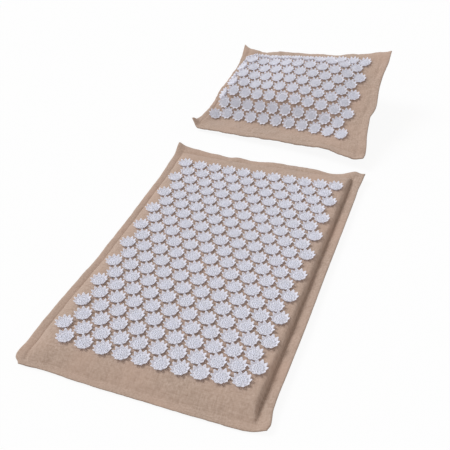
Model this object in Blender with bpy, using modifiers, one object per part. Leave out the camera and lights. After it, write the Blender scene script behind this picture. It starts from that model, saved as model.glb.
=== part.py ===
# Acupressure mat with its pillow: two zipped linen covers, each carrying a field of
# star-shaped spike disks, one over a foam slab and one over a plump filling.
# Lengths are metres. The origin is the middle of the mat's underside, +Y runs from the
# mat to the pillow and +Z is up.

import math

import bmesh
import bpy
from mathutils import Vector
from mathutils.bvhtree import BVHTree

# Cloth and the clearance that neighbouring pieces keep
cloth = 0.0012
gap = 0.0003

# Spike disk: a low cup that flares to ten points, bonded into the cloth
disk_pitch = 0.033
disk_radius = 0.0146
disk_foot_radius = 0.0128
disk_height = 0.0060
disk_root = 0.0004
disk_plug = 0.0008
disk_tips = 10
row_pitch_share = math.sqrt(3) / 2

# Mat cover and its foam
mat_width = 0.420
mat_length = 0.680
mat_height = 0.022
mat_flange = 0.020
mat_seam_height = 0.007
mat_shoulder = 0.018
mat_roll = 0.014
mat_corner_lift = 0.005
mat_field_offset_x = 0.007
mat_field_offset_y = -0.008
mat_disk_margin_x = 0.003
mat_disk_margin_y = 0.020
mat_zip_inset = 0.100
mat_zip_margin = 0.022
foam_inset = 0.007
foam_round = 0.010

# Pillow cover and its filling, resting on its belly with the far side up. Pairs are (place, share of crown)
pillow_width = 0.422
pillow_depth = 0.318
pillow_flange = 0.019
pillow_near_left = 0.008
pillow_near_right = 0.026
pillow_far_left = 0.066
pillow_far_right = 0.124
pillow_crown_height = 0.034
pillow_crown_along_shares = ((0, 0), (0.16, -0.29), (0.32, 0.74), (0.48, 0.97), (0.64, 1),
                             (0.80, 0.82), (0.92, 0.18), (1, 0))
pillow_crown_across_shares = ((-1, 0), (-0.8, 1.02), (-0.5, 0.95), (0, 1), (0.5, 0.65),
                              (0.8, 0.15), (1, 0))
pillow_taper_share = 0.045
pillow_lean = -0.013
pillow_side_roll = 0.045
pillow_near_roll = 0.040
pillow_far_roll = 0.060
pillow_draw_left = 0.017
pillow_draw_right = 0.004
pillow_draw_near = 0.007
pillow_draw_far = 0.003
pillow_draw_power = 5
pillow_corner_lift = 0.006
pillow_disk_margin = 0.005
pillow_gather_share = 0.987
pillow_field_offset_x = -0.009
pillow_field_offset_y = 0.005
pillow_zip_y = -0.020
pillow_zip_margin = 0.060
pillow_x = -0.007
pillow_y = 0.579
pillow_turn = math.radians(-9.4)
filling_gap = 0.0020
filling_slack_share = 0.016
filling_rim = 0.009

# Coil zip, set in a channel of the underside so that nothing of it meets the floor
zip_slot = 0.014
zip_hem = 0.006
zip_slope = 0.010
zip_lift = 0.0046
tape_width = 0.0118
tape_thickness = 0.0006
tape_end = 0.006
coil_width = 0.0025
coil_height = 0.0024
coil_round = 0.0006
coil_end = 0.005
post_width = 0.0008
post_length = 0.003
slider_length = 0.011
slider_wall = 0.0011
stop_length = 0.0022
stop_height = 0.0014
lug_length = 0.0054
lug_width = 0.0022
lug_bar = 0.0010
lug_opening = 0.0019
pull_length = 0.022
pull_width = 0.0050
pull_thickness = 0.0010
pull_round = 0.0016
small_round = 0.0004

# Shares of a rounded edge at which a sheet gets a line, closer where it turns fastest,
# and shares of the half width for the lines in the pillow's middle
round_shares = (0.0, 0.10, 0.32, 0.64, 1.0)
middle_line_shares = (-0.5, -0.25, 0.0, 0.25, 0.5)

# Step for slopes, number of steps for walking along the cloth, and how far cutters overrun
slope_step = 0.0005
walk_steps = 60
overrun = 0.002


def disks_within(seam, offset, margin, pitch):
    """How many disks find room in a row between two seams, past an offset from the middle."""
    return 1 + int(2 * (seam - abs(offset) - disk_radius - margin) / pitch)


# Worked out from the values above
row_pitch = disk_pitch * row_pitch_share
mat_seam_x = mat_width / 2 - mat_flange
mat_seam_y = mat_length / 2 - mat_flange
mat_zip_y = mat_seam_y - mat_zip_inset
mat_long_row = disks_within(mat_seam_x, mat_field_offset_x, mat_disk_margin_x, disk_pitch)
mat_rows = disks_within(mat_seam_y, mat_field_offset_y, mat_disk_margin_y, row_pitch)
pillow_edge_x = pillow_width / 2
pillow_edge_y = pillow_depth / 2
pillow_seam_x = pillow_edge_x - pillow_flange
pillow_seam_y = pillow_edge_y - pillow_flange
pillow_pitch = disk_pitch * pillow_gather_share
pillow_long_row = disks_within(pillow_seam_x, pillow_field_offset_x, pillow_disk_margin, pillow_pitch)
pillow_rows = disks_within(pillow_seam_y, pillow_field_offset_y, pillow_disk_margin, row_pitch)
coil_gap = post_width / 2 + gap
coil_reach = coil_gap + coil_width
tape_z = zip_lift + cloth + gap + tape_thickness / 2
channel_z = coil_height / 2 + gap
slider_z = channel_z + slider_wall
slider_width = 2 * (coil_reach + gap + slider_wall)
pull_z = tape_z - slider_z - lug_opening / 2
filling_relief = tape_z + slider_z + gap


def clear_scene():
    for item in list(bpy.data.objects):
        bpy.data.objects.remove(item)


def make_material(name, colour, roughness, metallic=0.0):
    material = bpy.data.materials.new(name)
    material.use_nodes = True
    surface = material.node_tree.nodes["Principled BSDF"]
    surface.inputs["Base Color"].default_value = (*colour, 1.0)
    surface.inputs["Roughness"].default_value = roughness
    surface.inputs["Metallic"].default_value = metallic
    return material


def add_object(name, mesh, collection, parent, *materials):
    item = bpy.data.objects.new(name, mesh)
    collection.objects.link(item)
    item.parent = parent
    for material in materials:
        mesh.materials.append(material)
    return item


def add_frame(name, collection, location=(0, 0, 0), turn=0.0):
    frame = bpy.data.objects.new(name, None)
    collection.objects.link(frame)
    frame.location = location
    frame.rotation_euler.z = turn
    return frame


def box_mesh(name, size, centre=(0, 0, 0)):
    mesh = bpy.data.meshes.new(name)
    shape = bmesh.new()
    bmesh.ops.create_cube(shape, size=1)
    bmesh.ops.scale(shape, vec=size, verts=shape.verts)
    bmesh.ops.translate(shape, vec=centre, verts=shape.verts)
    shape.to_mesh(mesh)
    shape.free()
    return mesh


def combine(item, other, operation):
    modifier = item.modifiers.new(operation.lower(), "BOOLEAN")
    modifier.operation = operation
    modifier.object = other
    other.hide_render = True
    other.display_type = "WIRE"


def round_edges(item, width, segments):
    bevel = item.modifiers.new("rounding", "BEVEL")
    bevel.width = width
    bevel.segments = segments


def add_cutter_box(name, size, centre, parent):
    return add_object(name, box_mesh(name, size, centre), cutters, parent)


# Surfaces of the two cushions

def rounded(distance, reach):
    """Quarter-round rise from 0 at the seam to 1 at the given reach inside it."""
    if distance <= 0:
        return 0.0
    if distance >= reach:
        return 1.0
    return math.sqrt(1 - (1 - distance / reach) ** 2)


def curve(points, place):
    """Smooth curve through (place, value) pairs in order of their places."""
    place = min(points[-1][0], max(points[0][0], place))
    index = 0
    while points[index + 1][0] < place:
        index += 1
    x1, y1 = points[index]
    x2, y2 = points[index + 1]
    x0, y0 = points[max(0, index - 1)]
    x3, y3 = points[min(len(points) - 1, index + 2)]
    span = x2 - x1
    share = (place - x1) / span
    start = (y2 - y0) / (x2 - x0) * span
    end = (y3 - y1) / (x3 - x1) * span
    bend = (2 * y1 - 2 * y2 + start + end) * share + 3 * y2 - 3 * y1 - 2 * start - end
    return y1 + share * (start + share * bend)


def channel(offset, height, flat_half, slope):
    """Raised channel of the underside along the zip."""
    beyond = abs(offset) - flat_half
    return height * min(1, max(0, 1 - beyond / slope))


def corner_rise(x, y, seam_x, seam_y, flange, lift):
    """Lift of the sewn corner tips, 0 at the seam and the whole lift at the tip."""
    over_x = min(1, max(0, (abs(x) - seam_x) / flange))
    over_y = min(1, max(0, (abs(y) - seam_y) / flange))
    return lift * over_x * over_y


def mat_top(x, y):
    foot = mat_seam_height + gap / 2 + cloth
    share = rounded(mat_seam_x - abs(x), mat_shoulder) * rounded(mat_seam_y - abs(y), mat_shoulder)
    rise = corner_rise(x, y, mat_seam_x, mat_seam_y, mat_flange, mat_corner_lift)
    return foot + (mat_height - foot) * share + rise


def mat_bottom(x, y):
    foot = mat_seam_height - gap / 2 - cloth
    share = rounded(mat_seam_x - abs(x), mat_roll) * rounded(mat_seam_y - abs(y), mat_roll)
    rise = corner_rise(x, y, mat_seam_x, mat_seam_y, mat_flange, mat_corner_lift)
    zip_rise = channel(y - mat_zip_y, zip_lift, zip_slot / 2 + zip_hem, zip_slope)
    return max(foot * (1 - share) + rise, zip_rise)


def mat_point(height):
    def place(x, y):
        return Vector((x, y, height(x, y)))
    return place


def pillow_shares(x, y):
    """Place between the seams: from -1 at the left to 1, and from 0 at the near side to 1."""
    return min(1, max(-1, x / pillow_seam_x)), min(1, max(0, (1 + y / pillow_seam_y) / 2))


def pillow_seam_height(x, y):
    across, along = pillow_shares(x, y)
    right_share = (1 + across) / 2
    near = pillow_near_left + (pillow_near_right - pillow_near_left) * right_share
    far = pillow_far_left + (pillow_far_right - pillow_far_left) * right_share
    return near + (far - near) * along


def pillow_top(x, y):
    across, along = pillow_shares(x, y)
    crown_share = curve(pillow_crown_along_shares, along) * curve(pillow_crown_across_shares, across)
    crown = pillow_crown_height * crown_share
    rise = corner_rise(x, y, pillow_seam_x, pillow_seam_y, pillow_flange, pillow_corner_lift)
    return pillow_seam_height(x, y) + gap + cloth + crown + rise


def pillow_underside(x, y):
    roll_y = pillow_near_roll if y < 0 else pillow_far_roll
    share = rounded(pillow_seam_x - abs(x), pillow_side_roll) * rounded(pillow_seam_y - abs(y), roll_y)
    rise = corner_rise(x, y, pillow_seam_x, pillow_seam_y, pillow_flange, pillow_corner_lift)
    return (pillow_seam_height(x, y) - gap - cloth) * (1 - share) + rise


def pillow_bottom(x, y):
    zip_rise = channel(y - pillow_zip_y, zip_lift, zip_slot / 2 + zip_hem, zip_slope)
    return max(pillow_underside(x, y), zip_rise)


def laid_out(x, y):
    """Plan place of a point of the flat cover: the cover is narrower and leans towards its
    far side, and its sides pull in between the corners, hardly so inside the rim."""
    share_x = x / pillow_edge_x
    share_y = y / pillow_edge_y
    draw_x = pillow_draw_right if x > 0 else pillow_draw_left
    draw_y = pillow_draw_far if y > 0 else pillow_draw_near
    pull_x = draw_x * (1 - share_y ** 2) * share_x ** pillow_draw_power
    pull_y = draw_y * (1 - share_x ** 2) * share_y ** pillow_draw_power
    beyond_zip = (y - pillow_zip_y) / pillow_seam_y
    return x * (1 - pillow_taper_share * beyond_zip) + pillow_lean * beyond_zip - pull_x, y - pull_y


def pillow_point(height):
    def place(x, y):
        return Vector((*laid_out(x, y), height(x, y)))
    return place


def slopes(height, x, y):
    slope_x = (height(x + slope_step, y) - height(x - slope_step, y)) / (2 * slope_step)
    slope_y = (height(x, y + slope_step) - height(x, y - slope_step)) / (2 * slope_step)
    return slope_x, slope_y


def along_cloth(profile, distance):
    """Plan coordinate reached by following the cloth for a distance from the middle."""
    place = 0.0
    for _ in range(walk_steps):
        slope = (profile(place + slope_step) - profile(place - slope_step)) / (2 * slope_step)
        place += distance / walk_steps / math.hypot(1, slope)
    return place


# Sheets of cloth

def edge_lines(edge, seam, reach):
    """Lines on the positive side: the rounded edge inside the seam, the seam and the edge."""
    lines = [seam - share * reach for share in reversed(round_shares)]
    lines.append(edge)
    return lines


def mirrored_lines(lines, middle=()):
    return sorted({*(-line for line in lines), *lines, *middle})


def sheet_mesh(name, columns, rows, place, faces_up, keep=None):
    """Grid through the given columns and rows, with its points set by place(x, y)."""
    mesh = bpy.data.meshes.new(name)
    shape = bmesh.new()
    last_column = len(columns) - 1
    last_row = len(rows) - 1
    bmesh.ops.create_grid(shape, x_segments=last_column, y_segments=last_row, size=1)
    for vertex in shape.verts:
        column = round((vertex.co.x + 1) / 2 * last_column)
        row = round((vertex.co.y + 1) / 2 * last_row)
        vertex.co = Vector((columns[column], rows[row], 0))
    if keep:
        unwanted = [face for face in shape.faces if not keep(*face.calc_center_median().xy)]
        bmesh.ops.delete(shape, geom=unwanted, context="FACES")
    bmesh.ops.triangulate(shape, faces=shape.faces, quad_method="FIXED")
    for vertex in shape.verts:
        vertex.co = place(vertex.co.x, vertex.co.y)
    if not faces_up:
        bmesh.ops.reverse_faces(shape, faces=shape.faces)
    shape.to_mesh(mesh)
    shape.free()
    return mesh


def thicken(item):
    solidify = item.modifiers.new("cloth", "SOLIDIFY")
    solidify.thickness = cloth
    solidify.offset = -1
    solidify.use_even_offset = True


def lattice(rows, long_row, near_row):
    """Centres of the disks, with every other row one disk shorter and shifted half a pitch."""
    centres = []
    for row in range(rows):
        count = near_row if row % 2 == 0 else 2 * long_row - 1 - near_row
        for column in range(count):
            x = (column - (count - 1) / 2) * disk_pitch
            y = (row - (rows - 1) / 2) * row_pitch
            centres.append((x, y))
    return centres


def drop_onto(sheet, point):
    """The place on the sheet straight below or above a point."""
    above = Vector((point.x, point.y, point.z + overrun))
    hit = sheet.ray_cast(above, Vector((0, 0, -1)))[0]
    return hit or point


def add_disk(shape, x, y, place, sheet):
    """Ten-sided cup that stands square to the cloth at (x, y)."""
    across = (place(x + slope_step, y) - place(x - slope_step, y)).normalized()
    along = place(x, y + slope_step) - place(x, y - slope_step)
    upright = across.cross(along).normalized()
    along = upright.cross(across)
    middle = drop_onto(sheet, place(x, y))
    foot_share = disk_foot_radius / (disk_radius - disk_foot_radius)
    apex = middle - upright * disk_height * foot_share
    foot = []
    tips = []
    for step in range(disk_tips):
        angle = math.tau * step / disk_tips
        reach = across * math.cos(angle) + along * math.sin(angle)
        tip = middle + upright * disk_height + reach * disk_radius
        inwards = (apex - tip).normalized()
        seat = sheet.ray_cast(tip, inwards)[0] or sheet.find_nearest(tip)[0]
        foot.append(shape.verts.new(seat + inwards * disk_root))
        tips.append(shape.verts.new(tip))
    root = shape.verts.new(middle - upright * disk_plug)
    for step in range(disk_tips):
        other = (step + 1) % disk_tips
        shape.faces.new((foot[step], foot[other], tips[other], tips[step]))
        shape.faces.new((foot[other], foot[step], root))
    shape.faces.new(tips)


def disk_field(name, centres, place, cover):
    """All disks of one cover, seated on its sheet, as one cutter under the cover's parent."""
    cloth_shape = bmesh.new()
    cloth_shape.from_mesh(cover.data)
    sheet = BVHTree.FromBMesh(cloth_shape)
    cloth_shape.free()
    mesh = bpy.data.meshes.new(name)
    shape = bmesh.new()
    for x, y in centres:
        add_disk(shape, x, y, place, sheet)
    bmesh.ops.recalc_face_normals(shape, faces=shape.faces)
    for face in shape.faces:
        face.material_index = 1
    shape.to_mesh(mesh)
    shape.free()
    return add_object(name, mesh, cutters, cover.parent, linen, disk_plastic)


def linked_piece(start):
    """All vertices that edges link to the given one."""
    found = {start}
    border = [start]
    while border:
        vertex = border.pop()
        for edge in vertex.link_edges:
            other = edge.other_vert(vertex)
            if other not in found:
                found.add(other)
                border.append(other)
    return found


def fill_pockets(cover):
    """Fixes the cover's modifiers and fills the closed pockets left under its disks."""
    evaluated = cover.evaluated_get(bpy.context.evaluated_depsgraph_get())
    mesh = bpy.data.meshes.new_from_object(evaluated)
    shape = bmesh.new()
    shape.from_mesh(mesh)
    pieces = []
    unseen = set(shape.verts)
    while unseen:
        pieces.append(linked_piece(next(iter(unseen))))
        unseen -= pieces[-1]
    pieces.sort(key=len)
    for pocket in pieces[:-1]:
        bmesh.ops.delete(shape, geom=list(pocket), context="VERTS")
    shape.to_mesh(mesh)
    shape.free()
    cover.modifiers.clear()
    cover.data = mesh


# Zip

def add_zip(prefix, frame, zip_y, slot_half):
    """Two tapes with their coil halves, end stops, the slider and its pull."""
    coil_half = slot_half - coil_end
    for side, sign in (("head", 1), ("foot", -1)):
        tape_y = zip_y + sign * (coil_gap + tape_width / 2)
        coil_y = zip_y + sign * (coil_gap + coil_width / 2)
        tape_size = (2 * (slot_half + tape_end), tape_width, tape_thickness)
        name = f"{prefix}_zip_tape_{side}"
        tape = add_object(name, box_mesh(name, tape_size), parts, frame, zip_cloth, coil_nylon)
        tape.location = (0, tape_y, tape_z)
        coil_name = f"{prefix}_zip_coil_{side}"
        coil_mesh = box_mesh(coil_name, (2 * coil_half, coil_width, coil_height))
        coil = add_object(coil_name, coil_mesh, cutters, frame, zip_cloth, coil_nylon)
        coil.location = (0, coil_y, tape_z)
        round_edges(coil, coil_round, 1)
        combine(tape, coil, "UNION")

    stop_top = tape_z - tape_thickness / 2 - gap
    stop_x = coil_half + gap + stop_length / 2
    for end, sign in (("closed", 1), ("open", -1)):
        name = f"{prefix}_zip_stop_{end}"
        stop_size = (stop_length, 2 * coil_reach, stop_height)
        stop = add_object(name, box_mesh(name, stop_size), parts, frame, zip_metal)
        stop.location = (sign * stop_x, zip_y, stop_top - stop_height / 2)
        round_edges(stop, small_round, 1)

    slider = add_slider(prefix, frame)
    slider.location = (coil_half - slider_length / 2, zip_y, tape_z)
    pull = add_pull(prefix, slider)
    pull.location = (0, 0, pull_z - tape_z)


def add_slider(prefix, frame):
    """Two plates round the coil, held together by the post between the coil halves."""
    name = f"{prefix}_zip_slider"
    body_size = (slider_length, slider_width, 2 * slider_z)
    slider = add_object(name, box_mesh(name, body_size), parts, frame, zip_metal)
    round_edges(slider, small_round, 1)
    through = slider_length + 2 * overrun
    coil_room = (through, 2 * (coil_reach + gap), 2 * channel_z)
    combine(slider, add_cutter_box(f"{name}_coil_room", coil_room, (0, 0, 0), slider), "DIFFERENCE")
    tape_room = (through, slider_width + 2 * overrun, tape_thickness + 2 * gap)
    combine(slider, add_cutter_box(f"{name}_tape_room", tape_room, (0, 0, 0), slider), "DIFFERENCE")
    post_x = slider_length / 2 - post_length / 2 - small_round
    post_size = (post_length, post_width, 2 * channel_z + slider_wall)
    post = add_cutter_box(f"{name}_post", post_size, (post_x, 0, 0), slider)
    combine(slider, post, "UNION")
    lug_height = lug_opening + lug_bar
    lug_z = -slider_z - lug_height / 2
    lug_size = (lug_length, lug_width, lug_height + slider_wall)
    lug = add_cutter_box(f"{name}_lug", lug_size, (0, 0, lug_z + slider_wall / 2), slider)
    opening_z = -slider_z - lug_opening / 2
    opening_size = (lug_length - 2 * lug_bar, lug_width + 2 * overrun, lug_opening)
    opening = add_cutter_box(f"{name}_lug_opening", opening_size, (0, 0, opening_z), slider)
    combine(lug, opening, "DIFFERENCE")
    combine(slider, lug, "UNION")
    return slider


def add_pull(prefix, slider):
    """Flat tab whose end bar hangs in the slider's lug, with its origin on that bar."""
    name = f"{prefix}_zip_pull"
    bar = pull_thickness
    length_x = bar / 2 - pull_length / 2
    tab = box_mesh(name, (pull_length, pull_width, pull_thickness), (length_x, 0, 0))
    pull = add_object(name, tab, parts, slider, zip_metal)
    shape = bmesh.new()
    shape.from_mesh(tab)
    corners = []
    for edge in shape.edges:
        if abs(edge.verts[0].co.z - edge.verts[1].co.z) > pull_thickness / 2:
            if edge.verts[0].co.x < length_x:
                corners.append(edge)
    bmesh.ops.bevel(shape, geom=corners, offset=pull_round, segments=3, affect="EDGES", profile=0.5)
    shape.to_mesh(tab)
    shape.free()
    reach = math.hypot(lug_length / 2, lug_opening / 2 + lug_bar) + gap
    eye_length = reach - bar / 2
    eye_size = (eye_length, lug_width + 2 * gap, pull_thickness + 2 * overrun)
    eye = add_cutter_box(f"{name}_eye", eye_size, (-bar / 2 - eye_length / 2, 0, 0), pull)
    combine(pull, eye, "DIFFERENCE")
    return pull


# The two cushions

def add_back_panels(prefix, frame, lines_x, lines_y, place, zip_y, slot_half):
    """Foot and head panel, with the zip's slot left open between their hems."""
    def outside_slot(x, y):
        return abs(x) > slot_half or abs(y - zip_y) > zip_slot / 2

    columns = mirrored_lines(lines_x, (-slot_half, slot_half))
    steps = (zip_slot / 2, zip_slot / 2 + zip_hem, zip_slot / 2 + zip_hem + zip_slope)
    for side, sign in (("foot", -1), ("head", 1)):
        beside = [zip_y + sign * gap / 2]
        beside.extend(zip_y + sign * step for step in steps)
        outer = [line for line in mirrored_lines(lines_y) if sign * (line - zip_y) > steps[-1]]
        rows = sorted(beside + outer)
        name = f"{prefix}_back_panel_{side}"
        mesh = sheet_mesh(name, columns, rows, place, False, outside_slot)
        panel = add_object(name, mesh, parts, frame, linen)
        thicken(panel)


def add_mat():
    frame = add_frame("mat_frame", parts)
    lines_x = edge_lines(mat_width / 2, mat_seam_x, mat_shoulder)
    lines_y = edge_lines(mat_length / 2, mat_seam_y, mat_shoulder)
    place = mat_point(mat_top)
    mesh = sheet_mesh("mat_top_cover", mirrored_lines(lines_x), mirrored_lines(lines_y), place, True)
    cover = add_object("mat_top_cover", mesh, parts, frame, linen, disk_plastic)
    thicken(cover)
    centres = []
    for x, y in lattice(mat_rows, mat_long_row, mat_long_row - 1):
        centres.append((x + mat_field_offset_x, y + mat_field_offset_y))
    combine(cover, disk_field("mat_disks", centres, place, cover), "UNION")

    slot_half = mat_seam_x - mat_zip_margin
    roll_x = edge_lines(mat_width / 2, mat_seam_x, mat_roll)
    roll_y = edge_lines(mat_length / 2, mat_seam_y, mat_roll)
    add_back_panels("mat", frame, roll_x, roll_y, mat_point(mat_bottom), mat_zip_y, slot_half)
    add_zip("mat", frame, mat_zip_y, slot_half)
    add_foam(frame)


def add_foam(frame):
    """Foam slab with rounded edges and a relief over the zip."""
    low = cloth + gap
    high = mat_height - cloth - gap
    size = (2 * (mat_seam_x - foam_inset), 2 * (mat_seam_y - foam_inset), high - low)
    foam = add_object("mat_foam_slab", box_mesh("mat_foam_slab", size), parts, frame, foam_white)
    foam.location.z = (low + high) / 2
    shape = bmesh.new()
    shape.from_mesh(foam.data)
    upper = [edge for edge in shape.edges if max(vertex.co.z for vertex in edge.verts) > 0]
    bmesh.ops.bevel(shape, geom=upper, offset=foam_round, segments=3, affect="EDGES", profile=0.5)
    floor_z = min(vertex.co.z for vertex in shape.verts)
    lower = [edge for edge in shape.edges if max(vertex.co.z for vertex in edge.verts) == floor_z]
    low_round = mat_roll - foam_inset
    bmesh.ops.bevel(shape, geom=lower, offset=low_round, segments=2, affect="EDGES", profile=0.5)
    shape.to_mesh(foam.data)
    shape.free()

    relief_height = filling_relief - low + overrun
    foot_half = zip_slot / 2 + zip_hem + zip_slope + overrun
    top_half = zip_slot / 2 + zip_hem + overrun
    relief_mesh = box_mesh("mat_foam_relief", (size[0] + 2 * overrun, 2 * foot_half, relief_height))
    for vertex in relief_mesh.vertices:
        if vertex.co.z > 0:
            vertex.co.y = math.copysign(top_half, vertex.co.y)
    relief = add_object("mat_foam_relief", relief_mesh, cutters, frame)
    relief.location = (0, mat_zip_y, low - overrun + relief_height / 2)
    combine(foam, relief, "DIFFERENCE")


def on_pillow(distance_x, distance_y):
    """Plan place of a disk that lies the given distances along the cloth from its middle."""
    row_y = along_cloth(lambda y: pillow_top(0, y), distance_y)
    place_x = along_cloth(lambda x: pillow_top(x, row_y), distance_x)
    place_y = along_cloth(lambda y: pillow_top(place_x, y), distance_y)
    return place_x, place_y


def add_pillow():
    frame = add_frame("pillow_frame", parts, (pillow_x, pillow_y, 0), pillow_turn)
    place = pillow_point(pillow_top)

    def along(y):
        return pillow_top(0, y)

    centres = []
    for x, y in lattice(pillow_rows, pillow_long_row, pillow_long_row):
        x *= pillow_gather_share
        centres.append(on_pillow(x + pillow_field_offset_x, y + pillow_field_offset_y))
    between_rows = []
    for row in range(pillow_rows + 1):
        distance = (row - pillow_rows / 2) * row_pitch + pillow_field_offset_y
        between_rows.append(along_cloth(along, distance))

    side_lines = edge_lines(pillow_edge_x, pillow_seam_x, pillow_side_roll)
    middle_lines = [share * pillow_seam_x for share in middle_line_shares]
    columns = mirrored_lines(side_lines, middle_lines)
    edge = [pillow_edge_y, pillow_seam_y, pillow_seam_y - pillow_near_roll * round_shares[1]]
    rows = mirrored_lines(edge, between_rows)
    mesh = sheet_mesh("pillow_top_cover", columns, rows, place, True)
    cover = add_object("pillow_top_cover", mesh, parts, frame, linen, disk_plastic)
    thicken(cover)
    combine(cover, disk_field("pillow_disks", centres, place, cover), "UNION")
    fill_pockets(cover)

    slot_half = pillow_seam_x - pillow_zip_margin
    near_lines = edge_lines(pillow_edge_y, pillow_seam_y, pillow_far_roll)
    add_back_panels("pillow", frame, side_lines, near_lines, pillow_point(pillow_bottom),
                    pillow_zip_y, slot_half)
    add_zip("pillow", frame, pillow_zip_y, slot_half)
    add_filling(frame, columns, rows)


def lines_within(lines, reach):
    """The lines nearer to the middle than the given reach, closed by one at either end."""
    return sorted({-reach, reach, *(line for line in lines if abs(line) < reach)})


def add_filling(frame, columns, rows):
    """Plump filling: the cover's two faces moved in by the cloth, joined round the rim."""
    inwards = cloth + filling_gap

    def upper(x, y):
        drop = inwards * math.hypot(1, *slopes(pillow_top, x, y)) ** 2
        return Vector((*laid_out(x, y), pillow_top(x, y) - drop))

    def lower(x, y):
        zip_rise = channel(y - pillow_zip_y, filling_relief, relief_half, zip_slope)
        inset = inwards + filling_slack_share * pillow_seam_height(x, y)
        nearer_seam = (x + math.copysign(inset, x), y + math.copysign(inset, y))
        under = pillow_underside(*nearer_seam) + inset
        return Vector((*laid_out(x, y), max(under, zip_rise)))

    relief_half = zip_slot / 2 + zip_hem + overrun
    relief_lines = []
    for reach in (relief_half, relief_half + zip_slope):
        relief_lines.extend((pillow_zip_y - reach, pillow_zip_y + reach))
    inner_columns = lines_within(columns, pillow_seam_x - filling_rim)
    inner_rows = lines_within([*rows, *relief_lines], pillow_seam_y - filling_rim)
    shape = bmesh.new()
    for place, faces_up in ((upper, True), (lower, False)):
        mesh = sheet_mesh("filling_face", inner_columns, inner_rows, place, faces_up)
        shape.from_mesh(mesh)
        bpy.data.meshes.remove(mesh)
    rims = [edge for edge in shape.edges if edge.is_boundary]
    bmesh.ops.bridge_loops(shape, edges=rims)
    bmesh.ops.recalc_face_normals(shape, faces=shape.faces)
    filling = bpy.data.meshes.new("pillow_filling")
    shape.to_mesh(filling)
    shape.free()
    add_object("pillow_filling", filling, parts, frame, filling_white)


clear_scene()
parts = bpy.data.collections.new("acupressure_mat")
cutters = bpy.data.collections.new("cutters")
bpy.context.scene.collection.children.link(parts)
bpy.context.scene.collection.children.link(cutters)
linen = make_material("linen", (0.42, 0.33, 0.27), 0.92)
disk_plastic = make_material("disk_plastic", (0.72, 0.74, 0.82), 0.38)
foam_white = make_material("foam", (0.80, 0.76, 0.66), 0.95)
filling_white = make_material("filling", (0.78, 0.74, 0.66), 0.95)
zip_cloth = make_material("zip_tape", (0.40, 0.32, 0.26), 0.90)
coil_nylon = make_material("zip_coil", (0.45, 0.37, 0.31), 0.45)
zip_metal = make_material("zip_metal", (0.62, 0.60, 0.57), 0.35, 1.0)
add_mat()
add_pillow()
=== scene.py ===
# Looks of the acupressure mat and its pillow: linen covers sewn over a foam slab and a
# filling, fields of spike disks, stitched seams and coil zips, with the camera and light.
# Lengths are metres, in the same frame as the CAD model.

import math

import bpy
from mathutils import Matrix, Vector, noise


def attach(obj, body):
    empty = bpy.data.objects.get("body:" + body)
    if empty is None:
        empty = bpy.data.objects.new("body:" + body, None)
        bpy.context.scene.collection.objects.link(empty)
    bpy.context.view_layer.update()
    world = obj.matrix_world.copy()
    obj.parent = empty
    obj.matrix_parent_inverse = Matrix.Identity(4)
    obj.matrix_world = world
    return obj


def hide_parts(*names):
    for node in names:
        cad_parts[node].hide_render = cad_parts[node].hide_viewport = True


# Camera, measured from the lattice of the disks
camera_place = (0.4225, -0.9677, 0.8666)
camera_target = (-0.0147, 0.1119, 0.0)
camera_roll = math.radians(-3.47)
camera_lens = 58.97
sensor_width = 36

# Light and stage
key_direction = (-0.66, 0.08, 0.75)
key_strength = 2.00
key_spread = math.radians(28)
key_colour = (0.93, 0.97, 1.0)
sky_colour = (1.0, 0.96, 0.93)
sky_strength = 0.625
floor_half = 4.0
floor_colour = (0.80, 0.80, 0.80)
floor_roughness = 0.9
floor_white_share = 0.92
sky_white_share = 1.0

# Cloth, the steps of its grid and the clearances between neighbouring layers
cloth = 0.0012
gap = 0.0003
grid_step = 0.0034
inner_step = 0.008
seam_line_offsets = (-0.0036, -0.0018, 0.0, 0.0018, 0.0036)
seam_groove_width = 0.0018
rim_width = 0.0022
rim_fold_parts = 3
slope_step = 0.0005
walk_steps = 40

# Waves of the cloth: height, size and seed of each
flange_puff = 0.0008
flange_puff_share = 0.9
wave_reach = 0.030
flange_waves = ((0.0008, 0.024, 3.1), (0.0007, 0.009, 7.7))
field_wave = (0.0005, 0.050, 1.3)
pillow_waves = ((0.0017, 0.024, 13.1), (0.0014, 0.010, 17.7))

# Spike disk: a lobed plate with ten petals round it and cones inside
disk_pitch = 0.033
disk_foot_radius = 0.012
disk_valley_share = 0.80
disk_plate = 0.0016
disk_bevel_share = 0.965
disk_bevel_height_share = 0.45
disk_lobe_steps = 3
disk_sink = 0.0003
disk_seat_share = 0.6
disk_turn = math.radians(-10)
disk_turn_spread = 0.16
disk_turn_step = 0.6
petal_count = 10
petal_radius = 0.0103
petal_width = 0.0085
petal_depth = 0.0013
petal_ridge = 0.0015
petal_height = 0.0057
petal_lean = 0.0056
petal_lean_power = 1.3
petal_width_shares = ((0.0, 0.72), (0.32, 0.88), (0.88, 0.30))
cone_rings = ((1, 0.0), (6, 0.0037), (12, 0.0073))
cone_sides = 6
cone_radius = 0.0022
cone_height = 0.0052
cone_fillet = math.radians(65)

# Mat
mat_width = 0.420
mat_length = 0.680
mat_height = 0.022
mat_flange = 0.020
mat_seam_height = 0.007
mat_roll = 0.014
mat_rows = 20
mat_long_row = 11
mat_field_offset_x = 0.007
mat_field_offset_y = -0.008
mat_edge_fade = 0.070
mat_lift_reach = 0.032
mat_near_drop = 0.003
mat_drop_reach = 0.030
mat_zip_inset = 0.100
mat_zip_margin = 0.022

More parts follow.
